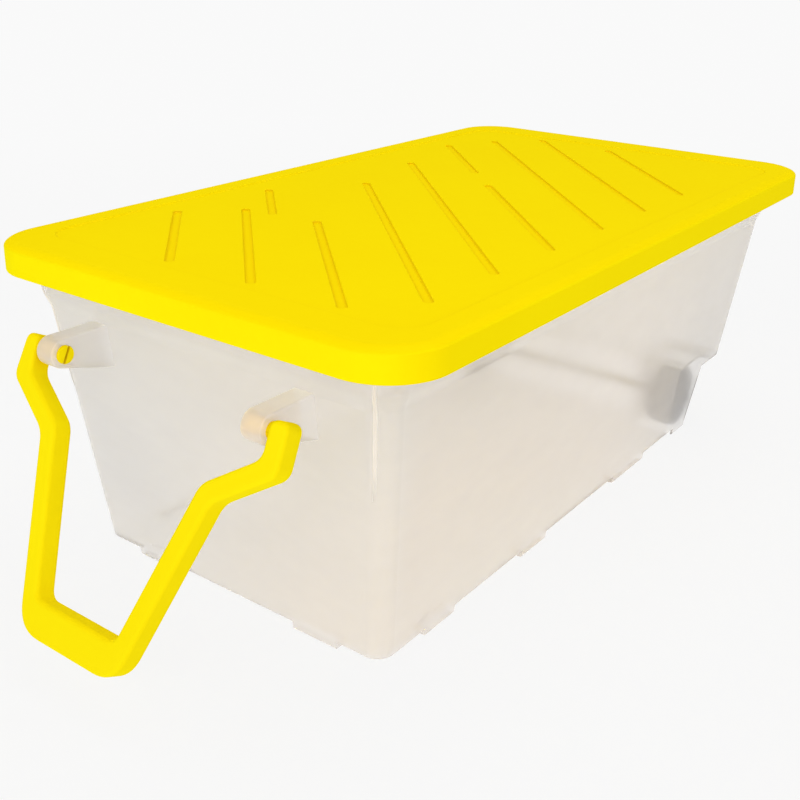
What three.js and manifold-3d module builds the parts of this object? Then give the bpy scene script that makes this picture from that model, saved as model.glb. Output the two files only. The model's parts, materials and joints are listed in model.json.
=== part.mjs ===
// Wheeled under-bed storage box: a frosted tub, a lift-off ribbed lid, a swinging pull handle at the
// front and two wheels on a steel rod at the rear.
//
// Millimetres, +Z up. +X is across the width, +Y runs from the handle end to the wheel end. The origin
// is the centre of the underside of the tub floor, a few millimetres above the ground, because the
// feet and the wheels reach lower.

import * as THREE from "three";
import { mergeVertices } from "three/addons/utils/BufferGeometryUtils.js";
import Module from "manifold-3d";

// ---------------------------------------------------------------- driving dimensions

const CLEARANCE = 0.3; // between neighbours that don't touch
const OVERRUN = 20; // how far a cutting tool runs past the material
const BITE = 1; // how far joined shapes reach into each other, and short cuts run past the material
const WELD = 1e-4; // points closer than this are one point
const CORNER_STEPS = 8; // facets on one quarter of a rounded rectangle
const EDGE_STEPS = 4; // facets on one quarter of a small edge rounding
const ROUND_STEPS = 32; // facets round a bar, pin, rod or cap
const WHEEL_STEPS = 48;

const FOOT_HEIGHT = 6;
const WALL = 2.2;
const FLOOR = 2.6;

// The tub's outside tapers from the floor to a reference height just below the lid.
const BASE = { halfX: 148.5, front: 301, rear: 292, radius: 15 };
const MOUTH = { halfX: 171, front: 328, rear: 328, radius: 19, z: 238 };
const BASE_EDGE = 2; // radius where the floor meets the walls
const SHOULDER = { z: 206, rise: 16, proud: 3.5 }; // a soft step out towards the mouth


// A fine upright rib on each corner of the tub, from mid-height to the rim. "turn" is how far round
// the corner it stands, in degrees from the end wall.
const CORNER_RIB = { turn: 25, low: 140, taper: 8, half: 1.3, proud: 0.8 };

const LID = { halfX: 200, halfY: 353, radius: 47, top: 261, skirt: 22.4, wall: 2.4 };
const LID_CROWN = { across: 10, down: 4.6 }; // the outside curves down further in than the inside
const LID_HOLLOW = { across: 4.2, down: 4.2 };
const LID_DRAFT = 0.4;
const PANEL = { halfX: 174, halfY: 312, radius: 24, sunk: 1 };

// Grooves run diagonally, at constant x + y, one "pitch" apart, inside a clear zone. Each runs from
// the near edge of the zone to its own far x. Some go on after a gap, moved along Y by a shift.
const GROOVE = { width: 7, depth: 1.8, pitch: 80, first: -347, reachX: 147, reachY: 298, ridge: 2 };
const GROOVE_LINES = [
  { far: -150 },
  { far: -112, next: { near: -86, shift: 31 } },
  { far: -40 },
  { far: -98 },
  { far: -122 },
  { far: -6, next: { near: -48, shift: 0 } },
  { far: -122 },
  { far: -98 },
  { far: 0 },
];
const LOCATING_RIB = { gap: 1.5, thick: 1.8, deep: 6 };

const RIM = { halfX: 193.5, halfY: 346.5, radius: 40.5, low: 239.6, thick: 2.2, flange: 2.4 };
const LID_GAP = 0.4;
const RIM_TOP = LID.top - LID.wall - LID_GAP; // the lid rests this far above the flange
const GUSSET = { thick: 2, pitchX: 80, pitchY: 92, above: 6 };

// Feet are pieces of one rail that follows the floor's edge.
const FOOT_RAIL = { thick: 12, edge: 1.5 };
const FRONT_FOOT = { from: 64, to: 106 };
const SIDE_FEET = [
  { from: -246, to: -208 },
  { from: -106, to: -66 },
  { from: 64, to: 130 },
  { from: 203, to: 250 },
];

const WHEEL = { radius: 33, inner: 114, outer: 138, hub: 10, tread: 5, edge: 2, web: 4 };
const SPOKE = { count: 6, thick: 2.4 };
const HUB_FACE = { inner: 109, outer: 140.4 };
const AXLE = { y: 233, z: WHEEL.radius - FOOT_HEIGHT, radius: 4, half: 145, chamfer: 0.8 };
const CAP = { inner: 141, outer: 147.5, radius: 8, floor: 1.8, domeFrom: 2.5, domeInset: 3 };

// Underside of the rear: one well for each wheel, a recess between them for the rod, and a step up
// behind the wheels so that the box can be tipped and rolled.
const WELL = { inner: 108, front: 190, rear: 270, ceiling: 74 };
const RECESS = { front: 222, ceiling: 61 };
const STEP = { skirtLow: 231, skirtHigh: 246, webLow: 248, webHigh: 256 };
const SADDLE = { half: 12, low: 14, inner: 100, ribHalf: 1.5, mouth: 7.2 };

const PIVOT = { y: -364, z: 197 };
const PIN = { radius: 5.7, head: 7, headThick: 2.5, slit: 2, slitDeep: 14 };
const LUG = { inner: 92, outer: 109.5, radius: 11, drop: 26, wrap: Math.PI * 1.35 };

// The handle is a flat cranked bail. "down" is measured from the pivot, "out" from its centre line.
const BAIL = [
  { out: 119.6, down: -8 },
  { out: 121.2, down: 22 },
  { out: 78.5, down: 51 },
  { out: 44.5, down: 177 },
];
const ARM_HALF = 7.6;
const GRIP_HALF = 13;
const BAIL_CORNER = 7;
const GRIP_CORNER = 20;
const BAIL_THICK = 17.4;
const BAIL_EDGE = 3.5;
const BAIL_REST_DEG = 27; // swung out from hanging straight down

// ---------------------------------------------------------------- solids

const wasm = await Module();
wasm.setup();

/** A closed geometry as a solid that can be joined and cut. */
function solid(geometry) {
  const bare = geometry.clone();
  bare.deleteAttribute("normal");
  bare.deleteAttribute("uv");
  const merged = mergeVertices(bare, WELD);
  const vertProperties = new Float32Array(merged.attributes.position.array);
  const triVerts = new Uint32Array(merged.index.array);
  return new wasm.Manifold(new wasm.Mesh({ numProp: 3, vertProperties, triVerts }));
}

/** A solid as a three.js geometry. */
function surface(body) {
  const mesh = body.getMesh();
  const geometry = new THREE.BufferGeometry();
  geometry.setAttribute("position", new THREE.BufferAttribute(mesh.vertProperties, 3));
  geometry.setIndex(new THREE.BufferAttribute(mesh.triVerts, 1));
  geometry.computeVertexNormals();
  return geometry;
}

function joined(bodies) {
  return bodies.reduce((whole, body) => whole.add(body));
}

/** A box from its low and high corners. */
function block(low, high) {
  const size = high.map((value, i) => value - low[i]);
  const middle = high.map((value, i) => (value + low[i]) / 2);
  return solid(new THREE.BoxGeometry(...size).translate(...middle));
}

/** The same box on the other side of the middle plane, too. */
function blockPair(low, high) {
  return block(low, high).add(block([-high[0], low[1], low[2]], [-low[0], high[1], high[2]]));
}

/** The corners of a rounded rectangle, counter-clockwise, always the same number of them. */
function outline({ halfX, front, rear, radius }) {
  const corners = [
    [halfX - radius, rear - radius, 0],
    [radius - halfX, rear - radius, 1],
    [radius - halfX, radius - front, 2],
    [halfX - radius, radius - front, 3],
  ];
  const points = [];
  for (const [x, y, quarter] of corners) {
    for (let step = 0; step <= CORNER_STEPS; step += 1) {
      const angle = ((quarter + step / CORNER_STEPS) * Math.PI) / 2;
      points.push(new THREE.Vector2(x + radius * Math.cos(angle), y + radius * Math.sin(angle)));
    }
  }
  return points;
}

/** A closed solid through a stack of outlines, lowest first, each { z, points }. */
function loft(stack) {
  const count = stack[0].points.length;
  const positions = stack.flatMap(({ z, points }) => points.flatMap((p) => [p.x, p.y, z]));
  const index = [];
  for (let level = 0; level + 1 < stack.length; level += 1) {
    for (let i = 0; i < count; i += 1) {
      const a = level * count + i;
      const b = level * count + ((i + 1) % count);
      index.push(a, b, b + count, a, b + count, a + count);
    }
  }
  const last = (stack.length - 1) * count;
  for (const [a, b, c] of THREE.ShapeUtils.triangulateShape(stack[0].points, [])) {
    index.push(c, b, a, last + a, last + b, last + c);
  }
  const geometry = new THREE.BufferGeometry();
  geometry.setAttribute("position", new THREE.Float32BufferAttribute(positions, 3));
  geometry.setIndex(index);
  return solid(geometry);
}

/** A straight-sided rounded rectangle centred on the origin. */
function slab({ halfX, halfY, radius }, low, high) {
  const points = outline({ halfX, front: halfY, rear: halfY, radius });
  return loft([{ z: low, points }, { z: high, points }]);
}

/** A shape drawn in the Y-Z plane, run along X. */
function prismX(shape, from, to) {
  const geometry = new THREE.ExtrudeGeometry(shape, { depth: to - from, bevelEnabled: false });
  const turn = new THREE.Matrix4().makeBasis(
    new THREE.Vector3(0, 1, 0),
    new THREE.Vector3(0, 0, 1),
    new THREE.Vector3(1, 0, 0),
  );
  return solid(geometry.applyMatrix4(turn).translate(from, 0, 0));
}

/** A round bar along X through the point y, z. */
function barX(radius, from, to, { y, z }, facets = ROUND_STEPS) {
  const bar = new THREE.CylinderGeometry(radius, radius, to - from, facets);
  return solid(bar.rotateZ(Math.PI / 2).translate((from + to) / 2, y, z));
}

/** A profile of [radius, x] pairs turned about the axle. The profile closes on itself. */
function turned(profile, facets) {
  const points = [...profile, profile[0]].map(([radius, x]) => new THREE.Vector2(radius, x));
  const lathe = new THREE.LatheGeometry(points, facets);
  return solid(lathe.rotateZ(-Math.PI / 2).translate(0, AXLE.y, AXLE.z));
}

// ---------------------------------------------------------------- tub

/** The tub's outline at a height, moved outwards by grow. */
function tubOutline(z, grow) {
  const share = z / MOUTH.z;
  const mix = (key) => THREE.MathUtils.lerp(BASE[key], MOUTH[key], share) + grow;
  return outline({
    halfX: mix("halfX"),
    front: mix("front"),
    rear: mix("rear"),
    radius: Math.max(mix("radius"), 1),
  });
}

/** The tapered tub body, moved outwards by grow, from a floor height up to a top. */
function tubBody(grow, floor, top) {
  const stack = [];
  for (let step = 0; step <= EDGE_STEPS; step += 1) {
    const angle = (step / EDGE_STEPS) * (Math.PI / 2);
    const z = floor + BASE_EDGE * (1 - Math.cos(angle));
    stack.push({ z, points: tubOutline(z, grow - BASE_EDGE * (1 - Math.sin(angle))) });
  }
  const proud = grow + SHOULDER.proud;
  stack.push({ z: SHOULDER.z, points: tubOutline(SHOULDER.z, grow) });
  const above = SHOULDER.z + SHOULDER.rise;
  stack.push({ z: above, points: tubOutline(above, proud) });
  stack.push({ z: top, points: tubOutline(top, proud) });
  return loft(stack);
}

/** The rib on one right-hand corner, at the front (end -1) or the rear (end 1). */
function cornerRib(end) {
  const { turn, low, taper, half, proud } = CORNER_RIB;
  const angle = THREE.MathUtils.degToRad(turn);
  const out = new THREE.Vector2(Math.sin(angle), end * Math.cos(angle));
  const along = new THREE.Vector2(Math.cos(angle), -end * Math.sin(angle));
  const wall = end < 0 ? "front" : "rear";
  const level = (z, step, height) => {
    const mix = (key) => THREE.MathUtils.lerp(BASE[key], MOUTH[key], z / MOUTH.z);
    const radius = mix("radius");
    const centre = new THREE.Vector2(mix("halfX") - radius, end * (mix(wall) - radius));
    const corner = (side, reach) =>
      centre.clone().addScaledVector(out, radius + step + reach).addScaledVector(along, side * half);
    const points = [corner(-1, height), corner(1, height), corner(1, -BITE), corner(-1, -BITE)];
    return { z, points: end < 0 ? points : points.reverse() };
  };
  return loft([
    level(low, 0, 0),
    level(low + taper, 0, proud),
    level(SHOULDER.z, 0, proud),
    level(SHOULDER.z + SHOULDER.rise, SHOULDER.proud, proud),
    level(RIM.low + BITE, SHOULDER.proud, proud),
  ]);
}

function cornerRibs() {
  const right = cornerRib(-1).add(cornerRib(1));
  return right.add(right.mirror([1, 0, 0]));
}

/** Flange and turned-down lip around the mouth, with stiffening gussets under the flange. */
function tubRim() {
  const inside = {
    halfX: RIM.halfX - RIM.thick,
    halfY: RIM.halfY - RIM.thick,
    radius: RIM.radius - RIM.thick,
  };
  const flangeUnder = RIM_TOP - RIM.flange;
  const hollow = slab(inside, RIM.low - OVERRUN, flangeUnder);
  const gussets = [];
  const low = RIM.low + GUSSET.above;
  const high = flangeUnder + BITE;
  for (let y = -3 * GUSSET.pitchY; y <= 3 * GUSSET.pitchY; y += GUSSET.pitchY) {
    const half = GUSSET.thick / 2;
    gussets.push(blockPair([MOUTH.halfX, y - half, low], [inside.halfX + BITE, y + half, high]));
  }
  for (let x = -1.5 * GUSSET.pitchX; x <= 1.5 * GUSSET.pitchX; x += GUSSET.pitchX) {
    const half = GUSSET.thick / 2;
    for (const end of [-1, 1]) {
      const ys = [end * MOUTH.rear, end * (inside.halfY + BITE)].sort((a, b) => a - b);
      gussets.push(block([x - half, ys[0], low], [x + half, ys[1], high]));
    }
  }
  return slab(RIM, RIM.low, RIM_TOP).subtract(hollow).add(joined(gussets));
}

/** Feet near the front corners and along both long sides, cut from one rail. */
function tubFeet() {
  const outer = [
    { z: -FOOT_HEIGHT, points: tubOutline(0, -FOOT_RAIL.edge) },
    { z: -FOOT_HEIGHT + FOOT_RAIL.edge, points: tubOutline(0, 0) },
    { z: BASE_EDGE, points: tubOutline(0, 0) },
  ];
  const inner = [-FOOT_HEIGHT - BITE, BASE_EDGE + BITE].map((z) => ({
    z,
    points: tubOutline(0, -FOOT_RAIL.thick),
  }));
  const front = blockPair(
    [FRONT_FOOT.from, -BASE.front - OVERRUN, -OVERRUN],
    [FRONT_FOOT.to, BITE + FOOT_RAIL.thick - BASE.front, OVERRUN],
  );
  const sides = SIDE_FEET.map(({ from, to }) =>
    blockPair(
      [BASE.halfX - FOOT_RAIL.thick - BITE, from, -OVERRUN],
      [BASE.halfX + OVERRUN, to, OVERRUN],
    ),
  );
  return loft(outer).subtract(loft(inner)).intersect(joined([front, ...sides]));
}

/** Two lugs on the front wall that carry the handle's pins. */
function tubLugs() {
  const shape = new THREE.Shape();
  const back = PIVOT.y + LUG.radius + 2 * OVERRUN;
  shape.moveTo(back, PIVOT.z + LUG.radius);
  shape.lineTo(PIVOT.y, PIVOT.z + LUG.radius);
  shape.absarc(PIVOT.y, PIVOT.z, LUG.radius, Math.PI / 2, LUG.wrap, false);
  shape.lineTo(back, PIVOT.z - LUG.drop);
  return prismX(shape, LUG.inner, LUG.outer).add(prismX(shape, -LUG.outer, -LUG.inner));
}

/** The two wheel wells, open below, moved outwards by grow on every side but the outer one. */
function wheelWells(grow) {
  return blockPair(
    [WELL.inner - grow, WELL.front - grow, -OVERRUN],
    [MOUTH.halfX + OVERRUN, WELL.rear + grow, WELL.ceiling + grow],
  );
}

/** The recess for the rod, between the wells, which runs out through the rear. */
function rodRecess(halfX, grow) {
  return block(
    [-halfX, RECESS.front - grow, -OVERRUN],
    [halfX, MOUTH.rear + OVERRUN, RECESS.ceiling + grow],
  );
}

/** What is cut away behind a leaning edge, from its low y at the floor to its high y up the step. */
function rearStep(low, high, from, to) {
  const shape = new THREE.Shape();
  const behind = MOUTH.rear + OVERRUN;
  shape.moveTo(behind, -OVERRUN);
  shape.lineTo(behind, RECESS.ceiling);
  shape.lineTo(high, RECESS.ceiling);
  shape.lineTo(low, 0);
  shape.lineTo(low, -OVERRUN);
  return prismX(shape, from, to);
}

/**
 * The step up behind the wheels. The side skirts end early, so the wheels stand out behind them and
 * the tipped box rolls freely. The webs that carry the rod reach a little further back.
 */
function rollStep() {
  const side = MOUTH.halfX + OVERRUN;
  const web = WELL.inner + BITE;
  return joined([
    rearStep(STEP.webLow, STEP.webHigh, -side, side),
    rearStep(STEP.skirtLow, STEP.skirtHigh, -side, -web),
    rearStep(STEP.skirtLow, STEP.skirtHigh, web, side),
  ]);
}

/** Thick saddles beside the wells and a rib in the middle, which the rod snaps up into. */
function rodSaddles() {
  const low = [SADDLE.inner, AXLE.y - SADDLE.half, SADDLE.low];
  const high = [WELL.inner, AXLE.y + SADDLE.half, RECESS.ceiling + BITE];
  const rib = block(
    [-SADDLE.ribHalf, RECESS.front - BITE, SADDLE.low],
    [SADDLE.ribHalf, AXLE.y + SADDLE.half, RECESS.ceiling + BITE],
  );
  return blockPair(low, high).add(rib);
}

/** The keyhole slot that the rod lies in, open below. */
function rodSlot() {
  const reach = WELL.inner + BITE;
  const seat = barX(AXLE.radius + CLEARANCE, -reach, reach, AXLE);
  const half = SADDLE.mouth / 2;
  return seat.add(block([-reach, AXLE.y - half, -OVERRUN], [reach, AXLE.y + half, AXLE.z]));
}

function makeTub() {
  const recessHalf = WELL.inner - WALL;
  const sideSkin = loft([-OVERRUN, MOUTH.z].map((z) => ({ z, points: tubOutline(z, -WALL) })));
  const cavity = tubBody(-WALL, FLOOR, RIM_TOP + BITE)
    .subtract(wheelWells(WALL))
    .subtract(rodRecess(MOUTH.halfX + OVERRUN, WALL));
  return tubBody(0, 0, RIM_TOP)
    .add(tubRim())
    .add(tubLugs())
    .add(cornerRibs())
    .subtract(cavity)
    .add(tubFeet())
    .subtract(wheelWells(0).intersect(sideSkin))
    .subtract(rodRecess(recessHalf, 0))
    .subtract(rollStep())
    .add(rodSaddles())
    .subtract(rodSlot())
    .subtract(barX(PIN.radius + CLEARANCE, -LUG.outer - BITE, LUG.outer + BITE, PIVOT));
}

// ---------------------------------------------------------------- lid

function lidOutline(shrink) {
  return outline({
    halfX: LID.halfX - shrink,
    front: LID.halfY - shrink,
    rear: LID.halfY - shrink,
    radius: LID.radius - shrink,
  });
}

/** A filled lid shape, moved inwards by shrink, between two heights, with a curve round its top. */
function lidShape(shrink, low, high, { across, down }) {
  const stack = [{ z: low, points: lidOutline(shrink) }];
  for (let step = 0; step <= EDGE_STEPS; step += 1) {
    const angle = (step / EDGE_STEPS) * (Math.PI / 2);
    const inset = LID_DRAFT + across * (1 - Math.cos(angle));
    stack.push({ z: high - down * (1 - Math.sin(angle)), points: lidOutline(shrink + inset) });
  }
  return loft(stack);
}

/** A bar with round ends between two points of the X-Y plane. */
function roundedBar(from, to, width, low, high) {
  const along = new THREE.Vector2().subVectors(to, from).angle();
  const radius = width / 2;
  const shape = new THREE.Shape();
  shape.absarc(to.x, to.y, radius, along - Math.PI / 2, along + Math.PI / 2, false);
  shape.absarc(from.x, from.y, radius, along + Math.PI / 2, along + Math.PI * 1.5, false);
  const options = { depth: high - low, bevelEnabled: false, curveSegments: CORNER_STEPS };
  return solid(new THREE.ExtrudeGeometry(shape, options).translate(0, 0, low));
}

/** Both ends of every diagonal groove. */
function grooveEnds() {
  const { first, pitch, reachX, reachY } = GROOVE;
  const ends = [];
  const add = (sum, near, far) => {
    const from = Math.min(near, sum + reachY);
    const to = Math.max(far, sum - reachY);
    ends.push([new THREE.Vector2(from, sum - from), new THREE.Vector2(to, sum - to)]);
  };
  GROOVE_LINES.forEach(({ far, next }, k) => {
    const sum = first + k * pitch;
    add(sum, reachX, far);
    if (next) add(sum + next.shift, next.near, -reachX);
  });
  return ends;
}

function makeLid() {
  const panel = { halfX: PANEL.halfX, halfY: PANEL.halfY, radius: PANEL.radius };
  const under = LID.top - LID.wall;
  const panelTop = LID.top - PANEL.sunk;
  const ribOuter = MOUTH.halfX + SHOULDER.proud - WALL - LOCATING_RIB.gap;
  const ribShape = (shrink) => ({
    halfX: ribOuter - shrink,
    halfY: ribOuter - shrink + MOUTH.rear - MOUTH.halfX,
    radius: MOUTH.radius - shrink,
  });
  const ribLow = under - LOCATING_RIB.deep;
  const locatingRib = slab(ribShape(0), ribLow, under + BITE).subtract(
    slab(ribShape(LOCATING_RIB.thick), ribLow - BITE, under + 2 * BITE),
  );
  const bottom = LID.top - LID.skirt;
  let lid = lidShape(0, bottom, LID.top, LID_CROWN)
    .subtract(lidShape(LID.wall, bottom - BITE, under, LID_HOLLOW))
    .add(locatingRib)
    .add(slab(panel, panelTop - LID.wall, under + BITE))
    .subtract(slab(panel, panelTop, LID.top + BITE));
  const grooveLow = panelTop - GROOVE.depth;
  for (const [from, to] of grooveEnds()) {
    const ridgeWidth = GROOVE.width + 2 * GROOVE.ridge;
    const ridge = roundedBar(from, to, ridgeWidth, grooveLow - LID.wall, under);
    lid = lid.add(ridge).subtract(roundedBar(from, to, GROOVE.width, grooveLow, LID.top + BITE));
  }
  return lid;
}

// ---------------------------------------------------------------- handle

/**
 * The point where a polyline turns its corner at index i when its two segments there are moved
 * sideways by before and after. At either end only one segment counts.
 */
function mitred(path, i, before, after) {
  const at = path[i];
  const side = (a, b) => new THREE.Vector2(a.y - b.y, b.x - a.x).normalize();
  if (i === 0) return at.clone().addScaledVector(side(at, path[1]), after);
  const first = side(path[i - 1], at);
  if (i === path.length - 1) return at.clone().addScaledVector(first, before);
  const second = side(at, path[i + 1]);
  const turn = first.cross(second);
  return new THREE.Vector2(
    at.x + (before * second.y - after * first.y) / turn,
    at.y + (after * first.x - before * second.x) / turn,
  );
}

/** A closed shape through the points, each corner rounded off by up to its own radius. */
function roundedShape(points, radii) {
  const shape = new THREE.Shape();
  points.forEach((corner, i) => {
    const radius = radii[i];
    const before = points[(i + points.length - 1) % points.length];
    const after = points[(i + 1) % points.length];
    const reach = (other) => Math.min(radius, corner.distanceTo(other) / 2);
    const enter = corner.clone().lerp(before, reach(before) / corner.distanceTo(before));
    const leave = corner.clone().lerp(after, reach(after) / corner.distanceTo(after));
    if (i === 0) shape.moveTo(enter.x, enter.y);
    else shape.lineTo(enter.x, enter.y);
    shape.quadraticCurveTo(corner.x, corner.y, leave.x, leave.y);
  });
  shape.closePath();
  return shape;
}

/** The flat bail in its own plane: x across, y up from the pivot. */
function bailShape() {
  const right = BAIL.map(({ out, down }) => new THREE.Vector2(out, -down));
  const left = [...right].reverse().map((p) => new THREE.Vector2(-p.x, p.y));
  const path = [...right, ...left];
  const grip = BAIL.length - 1;
  const half = (segment) => (segment === grip ? GRIP_HALF : ARM_HALF);
  const edge = (side) => path.map((_, i) => mitred(path, i, side * half(i - 1), side * half(i)));
  const isGrip = (i) => i === grip || i === grip + 1;
  const outerRadii = path.map((_, i) => (isGrip(i) ? GRIP_CORNER : BAIL_CORNER));
  const innerRadii = path.map(() => BAIL_CORNER);
  return roundedShape([...edge(1), ...edge(-1).reverse()], [...outerRadii, ...innerRadii]);
}

function makeHandle() {
  const bail = new THREE.ExtrudeGeometry(bailShape(), {
    depth: BAIL_THICK - 2 * BAIL_EDGE,
    bevelEnabled: true,
    bevelThickness: BAIL_EDGE,
    bevelSize: BAIL_EDGE,
    bevelOffset: -BAIL_EDGE,
    bevelSegments: EDGE_STEPS,
    curveSegments: EDGE_STEPS,
  }).translate(0, 0, BAIL_EDGE - BAIL_THICK / 2);
  const onAxis = { y: 0, z: 0 };
  const tip = LUG.inner - CLEARANCE - PIN.headThick;
  const pins = [-1, 1].map((side) => {
    const shaft = barX(PIN.radius, tip, BAIL[0].out, onAxis);
    const head = barX(PIN.head, tip, tip + PIN.headThick, onAxis);
    const slit = block(
      [tip - BITE, -PIN.head - BITE, -PIN.slit / 2],
      [tip + PIN.slitDeep, PIN.head + BITE, PIN.slit / 2],
    );
    const pin = shaft.add(head).subtract(slit);
    return side > 0 ? pin : pin.mirror([1, 0, 0]);
  });
  return joined([solid(bail), ...pins]);
}

// ---------------------------------------------------------------- wheels and rod

/** A hollow-sided wheel with spokes, on the side of the box that side points to. */
function makeWheel(side) {
  const { radius, inner, outer, hub, tread, edge, web } = WHEEL;
  const middle = (inner + outer) / 2;
  const bore = AXLE.radius + CLEARANCE;
  const rimInside = radius - tread;
  const profile = [
    [bore, HUB_FACE.inner],
    [hub, HUB_FACE.inner],
    [hub, middle - web / 2],
    [rimInside, middle - web / 2],
    [rimInside, inner],
    [radius - edge, inner],
    [radius, inner + edge],
    [radius, outer - edge],
    [radius - edge, outer],
    [rimInside, outer],
    [rimInside, middle + web / 2],
    [hub, middle + web / 2],
    [hub, HUB_FACE.outer],
    [bore, HUB_FACE.outer],
  ];
  let wheel = turned(profile, WHEEL_STEPS);
  const reach = rimInside - hub + 2 * BITE;
  for (let i = 0; i < SPOKE.count; i += 1) {
    const spoke = new THREE.BoxGeometry(outer - inner - 2 * edge, SPOKE.thick, reach);
    spoke.translate(middle, 0, (rimInside + hub) / 2);
    spoke.rotateX((i / SPOKE.count) * 2 * Math.PI).translate(0, AXLE.y, AXLE.z);
    wheel = wheel.add(solid(spoke));
  }
  return side > 0 ? wheel : wheel.mirror([1, 0, 0]);
}

function makeRod() {
  const { radius, half, chamfer } = AXLE;
  return turned([
    [0, -half],
    [radius - chamfer, -half],
    [radius, chamfer - half],
    [radius, half - chamfer],
    [radius - chamfer, half],
    [0, half],
  ], ROUND_STEPS);
}

/** A push-on cap with a blind bore that keeps the wheel on the rod. */
function makeCap(side) {
  const bore = AXLE.radius + CLEARANCE;
  const { inner, outer, radius, floor, domeFrom, domeInset } = CAP;
  const cap = turned([
    [bore, inner],
    [radius, inner],
    [radius, outer - domeFrom],
    [radius - domeInset / 3, outer - domeFrom / 3],
    [radius - domeInset, outer],
    [0, outer],
    [0, outer - floor],
    [bore, outer - floor],
  ], ROUND_STEPS);
  return side > 0 ? cap : cap.mirror([1, 0, 0]);
}

// ---------------------------------------------------------------- scene graph

const frosted = { color: 0xe6ddd3, roughness: 0.42, metalness: 0, opacity: 0.6, transparent: true };
const yellow = { color: 0xfae10a, roughness: 0.38, metalness: 0 };
const charcoal = { color: 0x55565a, roughness: 0.6, metalness: 0 };
const steel = { color: 0xb9bbbd, roughness: 0.3, metalness: 1 };

function piece(name, body, look) {
  const mesh = new THREE.Mesh(surface(body), new THREE.MeshStandardMaterial(look));
  mesh.name = name;
  return mesh;
}

const box = new THREE.Group();
box.add(piece("tub", makeTub(), frosted));
box.add(piece("lid", makeLid(), yellow));

// The bail is drawn upright in its own X-Y plane, so it is turned to hang and then swung out.
const bailPivot = new THREE.Group();
bailPivot.position.set(0, PIVOT.y, PIVOT.z);
bailPivot.rotation.x = Math.PI / 2 - THREE.MathUtils.degToRad(BAIL_REST_DEG);
bailPivot.add(piece("handle", makeHandle(), yellow));
box.add(bailPivot);

box.add(piece("axle_rod", makeRod(), steel));
for (const [label, side] of [["left", -1], ["right", 1]]) {
  box.add(piece(`wheel_${label}`, makeWheel(side), charcoal));
  box.add(piece(`axle_cap_${label}`, makeCap(side), charcoal));
}
box.updateMatrixWorld(true);

export default box;
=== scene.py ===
"""Looks for the wheeled under-bed storage box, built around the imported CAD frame. Metres, Z up."""

import json
import math

import bmesh
import bpy
import numpy as np
from mathutils import Matrix, Vector


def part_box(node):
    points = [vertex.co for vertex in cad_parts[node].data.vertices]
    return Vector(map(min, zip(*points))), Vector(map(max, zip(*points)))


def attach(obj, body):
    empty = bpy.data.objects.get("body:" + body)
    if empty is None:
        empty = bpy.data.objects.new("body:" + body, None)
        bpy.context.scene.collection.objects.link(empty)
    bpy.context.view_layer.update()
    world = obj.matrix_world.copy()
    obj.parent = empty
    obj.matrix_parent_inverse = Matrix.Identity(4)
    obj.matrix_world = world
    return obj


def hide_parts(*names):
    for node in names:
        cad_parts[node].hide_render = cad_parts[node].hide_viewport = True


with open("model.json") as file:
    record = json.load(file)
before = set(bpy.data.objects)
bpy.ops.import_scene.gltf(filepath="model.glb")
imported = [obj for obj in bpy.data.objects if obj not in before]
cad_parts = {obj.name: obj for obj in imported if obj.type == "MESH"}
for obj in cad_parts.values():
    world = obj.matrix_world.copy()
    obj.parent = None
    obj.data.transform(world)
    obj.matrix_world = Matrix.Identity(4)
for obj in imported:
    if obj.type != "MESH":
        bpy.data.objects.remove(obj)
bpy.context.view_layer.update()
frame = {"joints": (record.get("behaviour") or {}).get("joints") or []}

MM = 0.001
CORNER_STEPS = 20  # facets on one quarter of a rounded rectangle
ARC_STEPS = 7  # facets on a small edge rounding
ROUND_STEPS = 64  # facets round a rod, pin or cap
WHEEL_STEPS = 96
OVERRUN = 20  # how far a cutting shape runs past the material, millimetres
BITE = 1  # how far joined shapes reach into each other, millimetres
SHARP_ANGLE = 35  # edges bent by more than this many degrees stay crisp


# ------------------------------------------------------------------ places taken from the frame


def box_mm(node):
    """Lowest and highest corners of a CAD node at rest, in millimetres."""
    low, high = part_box(node)
    return np.array(low) / MM, np.array(high) / MM


lid_low, lid_high = box_mm("lid")
tub_low, tub_high = box_mm("tub")
wheel_low, wheel_high = box_mm("wheel_right")
rod_low, rod_high = box_mm("axle_rod")
cap_low, cap_high = box_mm("axle_cap_right")
foot_height = -tub_low[2]
axle_y, axle_z = ((wheel_low + wheel_high) / 2)[1:]
swing = next(joint for joint in frame["joints"] if joint["name"] == "handle_swing")
pivot_y, pivot_z = (round(v / MM, 3) for v in swing["pos_m"][1:])

# ------------------------------------------------------------------ dimensions, millimetres

WALL = 2.2
FLOOR = 2.6
BASE = {"half_x": 148.5, "front": 301, "rear": 292, "radius": 15}
MOUTH = {"half_x": 171, "front": 328, "rear": 328, "radius": 19}
MOUTH_Z = 238
BASE_EDGE = 2
SHOULDER_Z = 206
SHOULDER_RISE = 16
SHOULDER_PROUD = 3.5
SHOULDER_HEIGHTS = np.linspace(SHOULDER_Z, SHOULDER_Z + SHOULDER_RISE, 13)
CORNER_RIB = {"turn": math.radians(25), "low": 140, "taper": 8, "half": 1.3, "proud": 0.8}

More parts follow.
